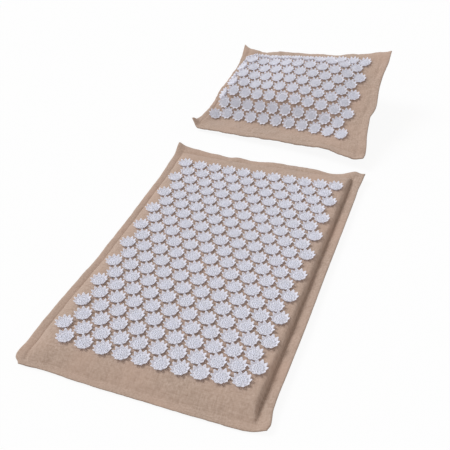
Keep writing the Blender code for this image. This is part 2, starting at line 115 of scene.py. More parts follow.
# For the left, right, near and far side: shoulders, steepness of their feet, grooves, rims, seam's shift
mat_shoulders = (0.030, 0.0075, 0.040, 0.034)
mat_foot_powers = (1.0, 1.0, 2.0, 1.0)
mat_grooves = (0.0014, 0.0018, 0.0003, 0.0012)
mat_flange_rise = (0.001, 0.004, 0.0, 0.0)
mat_seam_shifts = (0.003, 0.0, 0.007, 0.0)
pillow_grooves = (0.001, 0.0005, 0.0002, 0.001)
pillow_flange_rise = (0.0, 0.003, 0.0, 0.0)

# The mat's outline against its plain rectangle, and the rise of its far edge: (place along, shift)
mat_left_shift = (
    (-0.340, -0.006), (-0.333, -0.002), (-0.313, 0.008), (-0.286, 0.0045), (-0.261, 0.005),
    (-0.209, 0.0035), (-0.156, 0.001), (-0.100, -0.002), (-0.069, -0.0045), (-0.020, -0.0045),
    (0.061, -0.006), (0.133, -0.005), (0.211, -0.0045), (0.252, -0.003), (0.294, 0.0), (0.340, 0.001))
mat_right_shift = (
    (-0.340, 0.003), (-0.322, 0.0055), (-0.295, 0.0015), (-0.222, 0.002), (-0.132, 0.003),
    (0.026, 0.0025), (0.149, 0.003), (0.254, 0.003), (0.293, 0.0025), (0.340, 0.006))
mat_near_shift = (
    (-0.205, -0.006), (-0.152, -0.0065), (-0.107, -0.003), (-0.044, 0.0), (0.016, 0.002), (0.076, 0.0045),
    (0.134, 0.006), (0.177, 0.0065), (0.197, 0.003), (0.210, -0.001))
mat_far_shift = (
    (-0.205, 0.010), (-0.156, 0.0045), (-0.110, 0.002), (-0.084, 0.0), (-0.022, 0.0), (0.016, 0.001),
    (0.098, 0.001), (0.144, -0.001), (0.165, 0.0), (0.192, 0.0035), (0.210, 0.001))
mat_far_lift = (
    (-0.205, 0.015), (-0.188, 0.009), (-0.156, 0.006), (-0.133, 0.0025), (-0.110, 0.003), (-0.088, 0.001),
    (-0.066, 0.004), (-0.032, 0.0), (0.014, 0.0035), (0.052, 0.003), (0.108, 0.0025), (0.144, -0.001),
    (0.165, 0.001), (0.190, 0.010), (0.201, 0.0055), (0.210, 0.005))

# How the mat's disks drift from straight rows: by their share of half a row, and by place along the mat
drift_half = 0.165
drift_along = (
    (-1.0, 0.005), (-0.9, 0.003), (-0.8, 0.0014), (-0.5, -0.0014), (0.0, -0.003), (0.5, -0.0026),
    (0.8, 0.0006), (0.9, 0.0022), (1.0, 0.0048))
drift_across = (
    (-1.0, -0.0065), (-0.8, -0.0042), (-0.6, -0.0022), (-0.3, 0.0), (0.3, 0.001), (0.7, 0.0),
    (0.9, -0.0008), (1.0, -0.0022))
drift_along_shares = ((-0.280, 1.0), (-0.160, 1.0), (-0.050, 0.5), (0.060, 0.5), (0.264, 0.5))
drift_across_shares = ((-0.280, 0.9), (-0.200, 0.5), (-0.080, 0.0), (0.264, 0.0))
drift_forward = (
    (-0.280, 0.0055), (-0.250, 0.0012), (-0.194, 0.0006), (-0.080, -0.0007), (0.060, 0.0004),
    (0.264, 0.0026))
drift_sideways = ((-0.280, -0.001), (-0.194, 0.0), (0.006, -0.0004), (0.121, -0.0016), (0.264, -0.0018))

# Pillow, which lies on its belly with the far side up and the right end higher
pillow_width = 0.422
pillow_depth = 0.318
pillow_flange = 0.019
pillow_near_left = 0.008
pillow_near_right = 0.026
pillow_far_left = 0.066
pillow_far_right = 0.124
pillow_crown_height = 0.034
pillow_crown_along_shares = (
    (0, 0), (0.16, -0.29), (0.32, 0.74), (0.48, 0.97), (0.64, 1), (0.80, 0.82), (0.92, 0.18), (1, 0))
pillow_crown_across_shares = (
    (-1, 0), (-0.8, 1.02), (-0.5, 0.95), (0, 1), (0.5, 0.65), (0.8, 0.15), (1, 0))
pillow_taper_share = 0.045
pillow_lean = -0.013
pillow_side_roll = 0.045
pillow_near_roll = 0.040
pillow_far_roll = 0.060
pillow_draw_left = 0.017
pillow_draw_right = 0.004
pillow_draw_near = 0.007
pillow_draw_far = 0.003
pillow_draw_power = 5
pillow_corner_lift = 0.006
pillow_rows = 9
pillow_long_row = 11
pillow_gather_share = 0.987
pillow_field_offset_x = -0.009
pillow_field_offset_y = 0.005
pillow_zip_y = -0.020
pillow_zip_margin = 0.060
pillow_x = -0.007
pillow_y = 0.579
pillow_turn = math.radians(-9.4)
pillow_edge_fade = 0.050
pillow_lift_reach = 0.040

# The pillow's outline against its drawn-in rectangle, and the rise and fall of its long edges
pillow_left_shift = (
    (-0.159, -0.011), (-0.120, -0.009), (-0.092, -0.0105), (-0.067, -0.008), (-0.042, -0.0035),
    (-0.015, 0.0015), (0.050, 0.0), (0.090, -0.002), (0.130, 0.001), (0.159, 0.002))
pillow_right_shift = (
    (-0.159, 0.004), (-0.130, 0.006), (-0.094, 0.001), (-0.060, -0.0015), (-0.041, -0.002),
    (-0.024, 0.003), (-0.006, 0.0045), (0.012, 0.0025), (0.047, -0.001), (0.082, -0.001), (0.118, 0.0015),
    (0.159, 0.0))
pillow_near_shift = (
    (-0.211, -0.009), (-0.189, 0.004), (-0.169, 0.006), (-0.070, 0.0065), (-0.030, 0.004), (0.068, 0.0),
    (0.107, -0.002), (0.147, 0.0), (0.186, 0.003), (0.211, -0.002))
pillow_far_shift = ((-0.211, 0.004), (-0.190, 0.0), (0.211, 0.0))
pillow_near_lift = (
    (-0.211, 0.0095), (-0.190, 0.001), (-0.160, 0.0), (0.080, 0.0), (0.127, 0.004), (0.150, 0.001),
    (0.180, -0.004), (0.211, -0.009))
pillow_far_lift = (
    (-0.211, 0.010), (-0.186, 0.0075), (-0.163, 0.0025), (-0.140, -0.001), (-0.094, 0.003),
    (-0.047, -0.001), (0.000, -0.003), (0.069, -0.005), (0.115, -0.002), (0.139, -0.0025), (0.162, 0.0),
    (0.185, 0.004), (0.211, 0.0))

# Zip
zip_slot = 0.014
zip_hem = 0.006
zip_slope = 0.010
zip_lift = 0.0046
tape_width = 0.0118
tape_thickness = 0.0006
tape_selvedge = 0.001
tape_selvedge_width = 0.0014
tape_end = 0.006
coil_width = 0.0025
coil_height = 0.0024
coil_end = 0.005
coil_pitch = 0.0015
coil_wire = 0.00028
coil_steps = 10
coil_sides = 4
post_width = 0.0008

# Stitches
stitch_pitch = 0.0034
stitch_length = 0.0026
stitch_radius = 0.00028
stitch_sides = 4
stitch_end_share = 0.55

# Padding inside the covers: how far under the cover's outer face it stays, and how far inside the seam it
# ends
padding_inset = 0.0026
padding_rim = 0.010

# Settling of the cloth between the places where it is held
settle_frames = 8
settle_cap = 0.0012
settle_slack = -0.004
settle_held_reach = 0.0015

# Detail of a noise, where its material gives no other
noise_detail = 2

# Linen: linear colours, threads, and the scale per metre of each noise along and across the cloth
linen_light = (0.525, 0.408, 0.335)
linen_dark = (0.315, 0.218, 0.165)
linen_warm = (0.480, 0.335, 0.262)
linen_thread = 0.0011
linen_slub_scales = ((60, 700, 1), (700, 60, 1))
linen_mottle_scale = (260, 260, 1)
linen_warm_scale = (11, 11, 1)
linen_warm_detail = 1
linen_warm_gain = 1.6
linen_warm_offset = -0.55
linen_warm_most = 0.55
linen_slub_share = 0.35
linen_mottle_share = 0.55
linen_weave_share = 0.10
linen_ramp_shares = (0.46, 0.88)
linen_mottle_height = 1.4
linen_weave_height = 0.5
linen_bump = 0.00035
linen_bump_strength = 0.5
linen_roughness = 0.95
linen_sheen = 0.15
linen_sheen_roughness = 0.6
linen_specular = 0.12

# Plastic of the disks
disk_light = (0.915, 0.92, 0.985)
disk_shade = (0.845, 0.85, 0.915)
disk_grain_scale = (420, 420, 420)
disk_ramp_shares = (0.25, 0.75)
disk_bump = 0.00035
disk_bump_strength = 0.15
disk_roughness = 0.5
disk_specular = 0.3
disk_through_share = 0.38

# Plain finishes: linear colour, roughness, scale of the grain per metre, contrast and height of the grain
thread_finish = ((0.42, 0.32, 0.25), 0.9, (900, 900, 900), 0.15, 0.0001)
tape_finish = ((0.40, 0.32, 0.26), 0.9, (1500, 300, 900), 0.2, 0.0002)
coil_finish = ((0.50, 0.42, 0.35), 0.4, (600, 600, 600), 0.05, 0.00005)
foam_finish = ((0.80, 0.76, 0.66), 0.95, (700, 700, 700), 0.2, 0.0006)
filling_finish = ((0.78, 0.74, 0.66), 0.95, (90, 90, 90), 0.1, 0.002)
metal_finish = ((0.62, 0.60, 0.57), 0.38, (1400, 1400, 1400), 0.06, 0.00006)
plain_ramp_shares = (0.3, 0.7)
plain_detail = 3
plain_roughness_range = 0.2
plain_bump_strength = 0.6

# Worked out from the values above
row_pitch = disk_pitch * math.sqrt(3) / 2
mat_edge_x = mat_width / 2
mat_edge_y = mat_length / 2
mat_seam_x = mat_edge_x - mat_flange
mat_seam_y = mat_edge_y - mat_flange
mat_zip_y = mat_seam_y - mat_zip_inset
pillow_edge_x = pillow_width / 2
pillow_edge_y = pillow_depth / 2
pillow_seam_x = pillow_edge_x - pillow_flange
pillow_seam_y = pillow_edge_y - pillow_flange
rim_fold = rim_width / rim_fold_parts
coil_gap = post_width / 2 + gap
tape_z = zip_lift + cloth + gap + tape_thickness / 2
mat_shifts = (mat_left_shift, mat_right_shift, mat_near_shift, mat_far_shift)
pillow_shifts = (pillow_left_shift, pillow_right_shift, pillow_near_shift, pillow_far_shift)


# Curves and shares

def clamp(value, low=0.0, high=1.0):
    return max(low, min(high, value))


def smooth(value):
    value = clamp(value)
    return value * value * (3 - 2 * value)


def curve(points, place):
    """Smooth curve through (place, value) pairs in order of their places."""
    place = clamp(place, points[0][0], points[-1][0])
    index = 0
    while points[index + 1][0] < place:
        index += 1
    x1, y1 = points[index]
    x2, y2 = points[index + 1]
    x0, y0 = points[max(0, index - 1)]
    x3, y3 = points[min(len(points) - 1, index + 2)]
    span = x2 - x1
    share = (place - x1) / span
    start = (y2 - y0) / (x2 - x0) * span
    end = (y3 - y1) / (x3 - x1) * span
    bend = (2 * y1 - 2 * y2 + start + end) * share + 3 * y2 - 3 * y1 - 2 * start - end
    return y1 + share * (start + share * bend)


def rounded(distance, reach):
    """Quarter-round rise from 0 at the seam to 1 at the given reach inside it."""
    share = clamp(distance / reach)
    return math.sqrt(1 - (1 - share) ** 2)


def waves(x, y, kinds):
    """Sum of smooth noises, the same in every run, each of a height, size and seed."""
    return sum(height * noise.noise(Vector((x / size, y / size, seed))) for height, size, seed in kinds)


def channel(offset):
    """Raised channel of the underside along the zip."""
    beyond = abs(offset) - zip_slot / 2 - zip_hem
    return zip_lift * clamp(1 - beyond / zip_slope)


def seam_distances(x, y, seam_x, seam_y):
    """Distances inside the seam from its left, right, near and far side."""
    return seam_x + x, seam_x - x, seam_y + y, seam_y - y


def edge_shift(x, y, half_x, half_y, fade, shifts):
    """Shift of a place of the flat cloth by the outline's tables, fading inwards from each edge."""
    left, right, near, far = shifts
    to_left = smooth(1 - (x + half_x) / fade)
    to_right = smooth(1 - (half_x - x) / fade)
    to_near = smooth(1 - (y + half_y) / fade)
    to_far = smooth(1 - (half_y - y) / fade)
    shift_x = curve(right, y) * to_right - curve(left, y) * to_left
    return shift_x, curve(far, x) * to_far - curve(near, x) * to_near


def tilt(distances, flange, rises):
    """Rise of the flange towards its rim, on each side of its own."""
    return sum(rise * smooth(-distance / flange) for distance, rise in zip(distances, rises))


def flange_form(distances, flange, grooves):
    """Height of the flange's own form against a flat one: groove at the seam, puff, and rolled rim."""
    inside, groove = min(zip(distances, grooves))
    height = -groove * math.exp(-(inside / seam_groove_width) ** 2)
    if inside < 0:
        height += flange_puff * math.sin(math.pi * clamp(-inside / flange) * flange_puff_share)
    rim = clamp((-inside - flange + rim_width) / rim_width)
    return height - (cloth + gap / 2) * (1 - math.sqrt(1 - rim ** 2))


# The mat's form

def mat_outline(x, y):
    """Plan place of a point of the flat cloth."""
    shift_x, shift_y = edge_shift(x, y, mat_edge_x, mat_edge_y, mat_edge_fade, mat_shifts)
    pulls = []
    for distance, shift in zip(seam_distances(x, y, mat_seam_x, mat_seam_y), mat_seam_shifts):
        pulls.append(shift * smooth(1 + distance / mat_flange) * smooth(1 - distance / mat_edge_fade))
    return x + shift_x + pulls[1] - pulls[0], y + shift_y + pulls[3] - pulls[2]


def mat_shared_rise(x, y, distances):
    """Rise that both faces of the mat share: the raised edges and the flange's waves."""
    lift = curve(mat_far_lift, x) * smooth(1 - (mat_edge_y - y) / mat_lift_reach)
    lift += tilt(distances, mat_flange, mat_flange_rise)
    lift -= mat_near_drop * smooth(1 - distances[2] / mat_drop_reach)
    return lift + smooth(1 - min(distances) / wave_reach) * waves(x, y, flange_waves)


def mat_top(x, y):
    """Height of the outer face of the top cover."""
    distances = seam_distances(x, y, mat_seam_x, mat_seam_y)
    foot = mat_seam_height + gap / 2 + cloth
    share = 1
    for distance, shoulder, power in zip(distances, mat_shoulders, mat_foot_powers):
        share *= rounded(distance, shoulder) ** power
    height = foot + (mat_height - foot) * share + flange_form(distances, mat_flange, mat_grooves)
    return height + mat_shared_rise(x, y, distances) + waves(x, y, (field_wave,))


def mat_bottom(x, y):
    """Height of the outer face of the back cover."""
    distances = seam_distances(x, y, mat_seam_x, mat_seam_y)
    foot = mat_seam_height - gap / 2 - cloth
    share = rounded(mat_seam_x - abs(x), mat_roll) * rounded(mat_seam_y - abs(y), mat_roll)
    height = foot * (1 - share) - flange_form(distances, mat_flange, mat_grooves) * (1 - share)
    height += mat_shared_rise(x, y, distances) * (1 - share)
    return max(height, 0, channel(y - mat_zip_y))


# The pillow's form

def pillow_seam_height(x, y):
    """Height of the tilted surface that the seam lies in."""
    right_share = (1 + clamp(x / pillow_seam_x, -1, 1)) / 2
    along = clamp((1 + y / pillow_seam_y) / 2)
    near = pillow_near_left + (pillow_near_right - pillow_near_left) * right_share
    far = pillow_far_left + (pillow_far_right - pillow_far_left) * right_share
    return near + (far - near) * along


def pillow_crown(x, y):
    """Rise of the padding over the seam's surface."""
    across = clamp(x / pillow_seam_x, -1, 1)
    along = clamp((1 + y / pillow_seam_y) / 2)
    share = curve(pillow_crown_along_shares, along) * curve(pillow_crown_across_shares, across)
    return pillow_crown_height * share


def pillow_shared_rise(x, y, distances):
    """Rise that both faces of the pillow share: the corner tips and the flange's waves."""
    over_x = clamp((abs(x) - pillow_seam_x) / pillow_flange)
    over_y = clamp((abs(y) - pillow_seam_y) / pillow_flange)
    rise = pillow_corner_lift * over_x * over_y
    rise += curve(pillow_near_lift, x) * smooth(1 - (y + pillow_edge_y) / pillow_lift_reach)
    rise += curve(pillow_far_lift, x) * smooth(1 - (pillow_edge_y - y) / pillow_lift_reach)
    rise += tilt(distances, pillow_flange, pillow_flange_rise)
    return rise + smooth(1 - min(distances) / wave_reach) * waves(x, y, pillow_waves)


def pillow_top(x, y):
    """Height of the outer face of the top cover."""
    distances = seam_distances(x, y, pillow_seam_x, pillow_seam_y)
    height = pillow_seam_height(x, y) + gap + cloth + pillow_crown(x, y)
    height += flange_form(distances, pillow_flange, pillow_grooves)
    return height + pillow_shared_rise(x, y, distances)


def pillow_bottom(x, y):
    """Height of the outer face of the back cover."""
    distances = seam_distances(x, y, pillow_seam_x, pillow_seam_y)
    roll_y = pillow_near_roll if y < 0 else pillow_far_roll
    share = rounded(pillow_seam_x - abs(x), pillow_side_roll) * rounded(pillow_seam_y - abs(y), roll_y)
    height = (pillow_seam_height(x, y) - gap - cloth) * (1 - share)
    own = pillow_shared_rise(x, y, distances) - flange_form(distances, pillow_flange, pillow_grooves)
    height += own * (1 - share)
    return max(height, 0, channel(y - pillow_zip_y))


def pillow_outline(x, y):
    """Plan place of a point of the flat cloth, in the pillow's own frame."""
    share_x = x / pillow_edge_x
    share_y = y / pillow_edge_y
    draw_x = pillow_draw_right if x > 0 else pillow_draw_left
    draw_y = pillow_draw_far if y > 0 else pillow_draw_near
    pull_x = draw_x * (1 - share_y ** 2) * share_x ** pillow_draw_power
    pull_y = draw_y * (1 - share_x ** 2) * share_y ** pillow_draw_power
    beyond_zip = (y - pillow_zip_y) / pillow_seam_y
    plan_x = x * (1 - pillow_taper_share * beyond_zip) + pillow_lean * beyond_zip - pull_x
    shift_x, shift_y = edge_shift(x, y, pillow_edge_x, pillow_edge_y, pillow_edge_fade, pillow_shifts)
    return plan_x + shift_x, y - pull_y + shift_y


def placed(outline, height, base):
    """Function from a place of the flat cloth to its point on the object."""
    def place(x, y):
        return base @ Vector((*outline(x, y), height(x, y)))
    return place


# Meshes

def add_object(name, data):
    item = bpy.data.objects.new(name, data)
    bpy.context.scene.collection.objects.link(item)
    return item


def add_mesh(name, points, faces, flat=None, smooth_faces=True):
    """Object of points and faces, with the flat places of its points kept as UVs."""
    mesh = bpy.data.meshes.new(name)
    mesh.from_pydata(points, [], faces)
    if flat:
        layer = mesh.uv_layers.new(name="flat")
        for loop in mesh.loops:
            layer.data[loop.index].uv = flat[loop.vertex_index]
    if smooth_faces:
        mesh.shade_smooth()
    return add_object(name, mesh)


def finish_piece(item, body, material):
    """Gives a piece its material and the body that it moves with."""
    item.data.materials.append(material)
    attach(item, body)


def filled(stops, step):
    """The stops in order, with even lines between them that are no further apart than the step."""
    lines = [stops[0]]
    for stop in stops[1:]:
        start = lines[-1]
        count = max(1, math.ceil((stop - start) / step))
        lines.extend(start + (stop - start) * index / count for index in range(1, count + 1))
    return lines


def cover_stops(edge, flange):
    """Stops of a cover on both sides of its middle: close together at the seam and at the rim."""
    stops = [edge - flange + offset for offset in seam_line_offsets]
    stops.extend((edge - rim_width, edge - rim_fold, edge))
    return sorted({*(-stop for stop in stops), *stops})


def add_sheet(name, columns, rows, place, faces_up=True, keep=None):
    """Sheet of cloth through lines of the flat cloth, its points set by place(x, y)."""
    points = []
    flat = []
    for y in rows:
        for x in columns:
            points.append(place(x, y))
            flat.append((x, y))
    faces = []
    wide = len(columns)
    for row in range(len(rows) - 1):
        for column in range(wide - 1):
            middle_x = (columns[column] + columns[column + 1]) / 2
            middle_y = (rows[row] + rows[row + 1]) / 2
            if keep and not keep(middle_x, middle_y):
                continue
            first = row * wide + column
            face = (first, first + 1, first + wide + 1, first + wide)
            faces.append(face if faces_up else face[::-1])
    return add_mesh(name, points, faces, flat)


def thicken(item):
    """Gives a sheet the cloth's thickness, on its inner side."""
    solidify = item.modifiers.new("cloth", "SOLIDIFY")
    solidify.thickness = cloth
    solidify.offset = -1


def add_padding(name, half_x, half_y, top, bottom):
    """Closed body of foam or filling between two faces, joined round its rim."""
    columns = filled([-half_x, half_x], inner_step)
    rows = filled([-half_y, half_y], inner_step)
    wide = len(columns)
    high = len(rows)
    points = [top(x, y) for y in rows for x in columns]
    points.extend(bottom(x, y) for y in rows for x in columns)
    under = wide * high
    faces = []
    for row in range(high - 1):
        for column in range(wide - 1):
            first = row * wide + column
            faces.append((first, first + 1, first + wide + 1, first + wide))
            first += under
            faces.append((first, first + wide, first + wide + 1, first + 1))
    far_left = under - wide
    rim = [*range(wide - 1), *range(wide - 1, under - 1, wide),
           *range(under - 1, far_left, -1), *range(far_left, 0, -wide)]
    for here, there in zip(rim, (*rim[1:], rim[0])):
        faces.append((here, under + here, under + there, there))
    return add_mesh(name, points, faces)


def held_places(columns, rows, seam, centres):
    """Numbers of the cover's points that the seam, the flange or a disk holds."""
    held = []
    for row, y in enumerate(rows):
        near = [disk_x for disk_x, disk_y in centres if abs(y - disk_y) < disk_foot_radius]
        for column, x in enumerate(columns):
            inside = min(seam[0] - abs(x), seam[1] - abs(y))
            if inside < settle_held_reach or any(abs(x - disk_x) < disk_foot_radius for disk_x in near):
                held.append(row * len(columns) + column)
    return held


def settle(cover, held):
    """Lets the cloth ease a little between the places that hold it, and fixes the result."""
    group = cover.vertex_groups.new(name="held")
    group.add(held, 1.0, "REPLACE")
    modifier = cover.modifiers.new("settle", "CLOTH")
    settings = modifier.settings
    settings.vertex_group_mass = "held"
    settings.shrink_min = settle_slack
    settings.effector_weights.gravity = 0
    modifier.collision_settings.use_collision = False
    rest = [vertex.co.copy() for vertex in cover.data.vertices]
    for step in range(1, settle_frames + 1):
        bpy.context.scene.frame_set(step)
    graph = bpy.context.evaluated_depsgraph_get()
    eased = [vertex.co.copy() for vertex in cover.evaluated_get(graph).data.vertices]
    cover.modifiers.remove(modifier)
    cover.vertex_groups.remove(group)
    bpy.context.scene.frame_set(1)
    for vertex, before, after in zip(cover.data.vertices, rest, eased):
        move = after - before
        if move.length > settle_cap:
            move.length = settle_cap
        vertex.co = before + move


# Spike disks

def lattice(rows, long_row, near_row):
    """Centres of the disks, with every other row one disk shorter and shifted half a pitch."""
    centres = []
    for row in range(rows):
        count = near_row if row % 2 == 0 else 2 * long_row - 1 - near_row
        for column in range(count):
            x = (column - (count - 1) / 2) * disk_pitch
            y = (row - (rows - 1) / 2) * row_pitch
            centres.append((x, y))
    return centres


def drifted(x, y):
    """Place of one of the mat's disks, off its straight row as the cloth was sewn."""
    share = x / drift_half
    over_x = curve(drift_across, share) * (curve(drift_across_shares, y) if x < 0 else 1)
    over_x += curve(drift_sideways, y)
    over_y = curve(drift_along, share) * curve(drift_along_shares, y) + curve(drift_forward, y)
    return x + mat_field_offset_x + over_x, y + mat_field_offset_y + over_y


def add_rings(points, faces, rings, tip):
    """Skin through rings of points, one above the other, closed by a tip."""
    first = len(points)
    sides = len(rings[0])
    for ring in rings:
        points.extend(ring)
    points.append(tip)
    last = first + sides * (len(rings) - 1)
    for step in range(sides):
        other = (step + 1) % sides
        for ring in range(first, last, sides):
            faces.append((ring + step, ring + other, ring + sides + other, ring + sides + step))
        faces.append((last + step, last + other, last + sides))


def add_plate(points, faces):
    """Lobed plate under the petals."""
    steps = petal_count * 2 * disk_lobe_steps
    lobe = (1 - disk_valley_share) / 2
    rings = []
    for share, level in ((1, -disk_plate), (1, disk_plate * disk_bevel_height_share),
                         (disk_bevel_share, disk_plate)):
        ring = []
        for step in range(steps):
            angle = math.tau * step / steps + math.pi / 2
            ripple = math.cos(petal_count * math.tau * step / steps)
            reach = disk_foot_radius * share * (1 - lobe + lobe * ripple)
            ring.append(Vector((reach * math.cos(angle), reach * math.sin(angle), level)))
        rings.append(ring)
    add_rings(points, faces, rings, Vector((0, 0, disk_plate)))


def add_petal(points, faces, angle):
    """Broad blade across the disk's radius, with a ridge, that narrows to a tip leaning outwards."""
    turn = Matrix.Rotation(angle, 3, "Z")
    half_depth = petal_depth / 2
    rings = []
    for level_share, width_share in petal_width_shares:
        out = petal_radius + petal_lean * level_share ** petal_lean_power
        level = disk_plate / 2 + (petal_height - disk_plate / 2) * level_share
        half_width = petal_width / 2 * width_share
        ridge = petal_ridge * width_share
        section = ((-half_depth, -half_width), (half_depth, -half_width), (half_depth + ridge, 0),
                   (half_depth, half_width), (-half_depth, half_width), (ridge - half_depth, 0))
        rings.append([turn @ Vector((out + over, side, level)) for over, side in section])
    tip = turn @ Vector((petal_radius + petal_lean, 0, petal_height))
    add_rings(points, faces, rings, tip)


def add_cone(points, faces, radius, angle):
    """Low spike inside the ring of petals."""
    turn = Matrix.Rotation(angle, 3, "Z")
    ring = []
    for side in range(cone_sides):
        around = math.tau * side / cone_sides
        place = (radius + cone_radius * math.cos(around), cone_radius * math.sin(around), disk_plate / 2)
        ring.append(turn @ Vector(place))
    add_rings(points, faces, [ring], turn @ Vector((radius, 0, cone_height)))


def disk_shape():
    """Points and faces of one disk, standing on the origin with a petal towards the far side."""
    points = []
    faces = []
    add_plate(points, faces)
    for index in range(petal_count):
        add_petal(points, faces, math.tau * index / petal_count + math.pi / 2)
    for count, radius in cone_rings:
        for index in range(count):
            add_cone(points, faces, radius, math.tau * (index + 1 / 2) / count)
    return points, faces


def add_disk_field(name, centres, place):
    """All disks of one cover as one mesh, each standing square to the cloth."""
    shape_points, shape_faces = disk_shape()
    reach = disk_seat_share * disk_foot_radius
    points = []
    faces = []
    for index, (x, y) in enumerate(centres):
        middle = place(x, y)
        around = [place(x + over_x * reach, y + over_y * reach)
                  for over_x, over_y in ((1, 0), (-1, 0), (0, 1), (0, -1))]
        across = around[0] - around[1]
        along = around[2] - around[3]
        upright = across.cross(along).normalized()
        along = (along - upright * along.dot(upright)).normalized()
        basis = Matrix((along.cross(upright), along, upright)).transposed()
        turn = disk_turn + disk_turn_spread * noise.noise(Vector((index * disk_turn_step, 0, 0)))
        basis = basis @ Matrix.Rotation(turn, 3, "Z")
        level = sum((point - middle).dot(upright) for point in around) / len(around)
        seat = middle + upright * (level / 2 - disk_sink + disk_plate / 2)
        first = len(points)
        points.extend(seat + basis @ point for point in shape_points)
        for face in shape_faces:
            faces.append(tuple(first + corner for corner in face))
    field = add_mesh(name, points, faces)
    field.data.set_sharp_from_angle(angle=cone_fillet)
    return field


# Stitches

def add_stitch(points, faces, start, end, upright):
    """Slim thread from start to end that dips into the cloth at both ends."""
    along = (end - start).normalized()
    across = upright.cross(along).normalized()
    reach = (end - start).length / 2
    middle = (start + end) / 2
    rings = []
    for share in (-stitch_end_share, stitch_end_share):
        ring = []
        for side in range(stitch_sides):
            angle = math.tau * side / stitch_sides
            offset = across * math.cos(angle) + upright * math.sin(angle)
            ring.append(middle + along * reach * share + offset * stitch_radius)
        rings.append(ring)
    near = len(points)
    far = near + stitch_sides
    tips = far + stitch_sides
    sunk = upright * stitch_radius
    points.extend((*rings[0], *rings[1], start - sunk, end - sunk))
    for side in range(stitch_sides):
        other = (side + 1) % stitch_sides
        faces.append((near + side, near + other, far + other, far + side))
        faces.append((near + other, near + side, tips))
        faces.append((far + side, far + other, tips + 1))


def add_stitches(name, lines, place, side):
    """Rows of stitches along straight lines of the flat cloth, on its upper or under side."""
    points = []
    faces = []
    for (start_x, start_y), (end_x, end_y) in lines:
        length = math.hypot(end_x - start_x, end_y - start_y)
        count = int(length / stitch_pitch)
        step_x = (end_x - start_x) / length
        step_y = (end_y - start_y) / length
        for index in range(count):
            from_here = (index + 1 / 2) * length / count - stitch_length / 2
            ends = []
            for distance in (from_here, from_here + stitch_length):
                ends.append(place(start_x + step_x * distance, start_y + step_y * distance))
            beside = place(start_x + step_x * from_here - step_y * slope_step,
                           start_y + step_y * from_here + step_x * slope_step)
            upright = (ends[1] - ends[0]).cross(beside - ends[0]).normalized() * side
            add_stitch(points, faces, ends[0], ends[1], upright)
    return add_mesh(name, points, faces)


def seam_sides(half_x, half_y):
    """The four sides of a seam, each from corner to corner."""
    corners = ((-half_x, -half_y), (half_x, -half_y), (half_x, half_y), (-half_x, half_y))
    return list(zip(corners, (*corners[1:], corners[0])))


# Zip

def add_tape(body, side, sign, base, zip_y, slot_half):
    """Woven tape with a thicker selvedge, and the coil half along its other edge."""
    half = slot_half + tape_end
    inner = coil_gap
    outer = coil_gap + tape_width
    thin = tape_thickness / 2
    thick = tape_selvedge / 2
    selvedge = outer - tape_selvedge_width
    bead = outer - tape_selvedge_width / 2
    section = ((inner, -thin), (selvedge, -thin), (bead, -thick), (outer, -thin),
               (outer, thin), (bead, thick), (selvedge, thin), (inner, thin))
    points = []
    flat = []
    faces = []
    sides = len(section)
    stops = filled([-half, half], inner_step)
    for x in stops:
        for over, level in section:
            points.append(base @ Vector((x, zip_y + sign * over, tape_z + level)))
            flat.append((x, over))
    for index in range(len(stops) - 1):
        for corner in range(sides):
            here = index * sides + corner
            there = index * sides + (corner + 1) % sides
            face = (here, there, there + sides, here + sides)
            faces.append(face if sign > 0 else face[::-1])
    ends = (tuple(range(sides))[::-1], tuple(range(len(points) - sides, len(points))))
    faces.extend(ends if sign > 0 else (ends[0][::-1], ends[1][::-1]))
    tape = add_mesh(f"{body}_zip_tape_woven_{side}", points, faces, flat, smooth_faces=False)
    return tape, add_coil(body, side, sign, base, zip_y, slot_half - coil_end)


def add_coil(body, side, sign, base, zip_y, half):
    """Nylon coil: one wire wound round the tape's edge."""
    turns = int(2 * half / coil_pitch)
    reach_y = coil_width / 2 - coil_wire
    reach_z = coil_height / 2 - coil_wire
    middle_y = zip_y + sign * (coil_gap + coil_width / 2)
    start = -half + (2 * half - turns * coil_pitch) / 2
    points = []
    faces = []
    for step in range(turns * coil_steps + 1):
        angle = math.tau * step / coil_steps
        x = start + coil_pitch * step / coil_steps
        outwards = Vector((0, math.cos(angle), math.sin(angle)))
        centre = Vector((x, middle_y + reach_y * outwards.y, tape_z + reach_z * outwards.z))
        for corner in range(coil_sides):
            around = math.tau * corner / coil_sides
            offset = Vector((math.sin(around), 0, 0)) + outwards * math.cos(around)
            points.append(base @ (centre + offset * coil_wire))
        if step:
            new = len(points) - coil_sides
            old = new - coil_sides
            for corner in range(coil_sides):
                other = (corner + 1) % coil_sides
                faces.append((old + corner, new + corner, new + other, old + other))
    faces.append(tuple(range(coil_sides)))
    faces.append(tuple(range(len(points) - coil_sides, len(points)))[::-1])
    return add_mesh(f"{body}_zip_coil_{side}", points, faces)


# Materials

def feed(tree, node, values):
    """Sets inputs of a node to numbers or colours, or links them to the outputs of other nodes."""
    for name, value in values.items():
        if isinstance(value, bpy.types.NodeSocket):
            tree.links.new(value, node.inputs[name])
        else:
            node.inputs[name].default_value = value


def add_node(tree, kind, values, **settings):
    """New node with its settings, and its inputs fed with the values."""
    node = tree.nodes.new(kind)
    for name, value in settings.items():
        setattr(node, name, value)
    feed(tree, node, values)
    return node


def math_node(tree, operation, *values):
    return add_node(tree, "ShaderNodeMath", dict(enumerate(values)), operation=operation).outputs[0]


def noise_node(tree, coordinates, scale, detail=noise_detail):
    """Noise with its own scale in each direction of the coordinates, per metre."""
    mapping = add_node(tree, "ShaderNodeMapping", {"Vector": coordinates, "Scale": scale})
    values = {"Vector": mapping.outputs[0], "Scale": 1, "Detail": detail}
    return add_node(tree, "ShaderNodeTexNoise", values).outputs["Fac"]


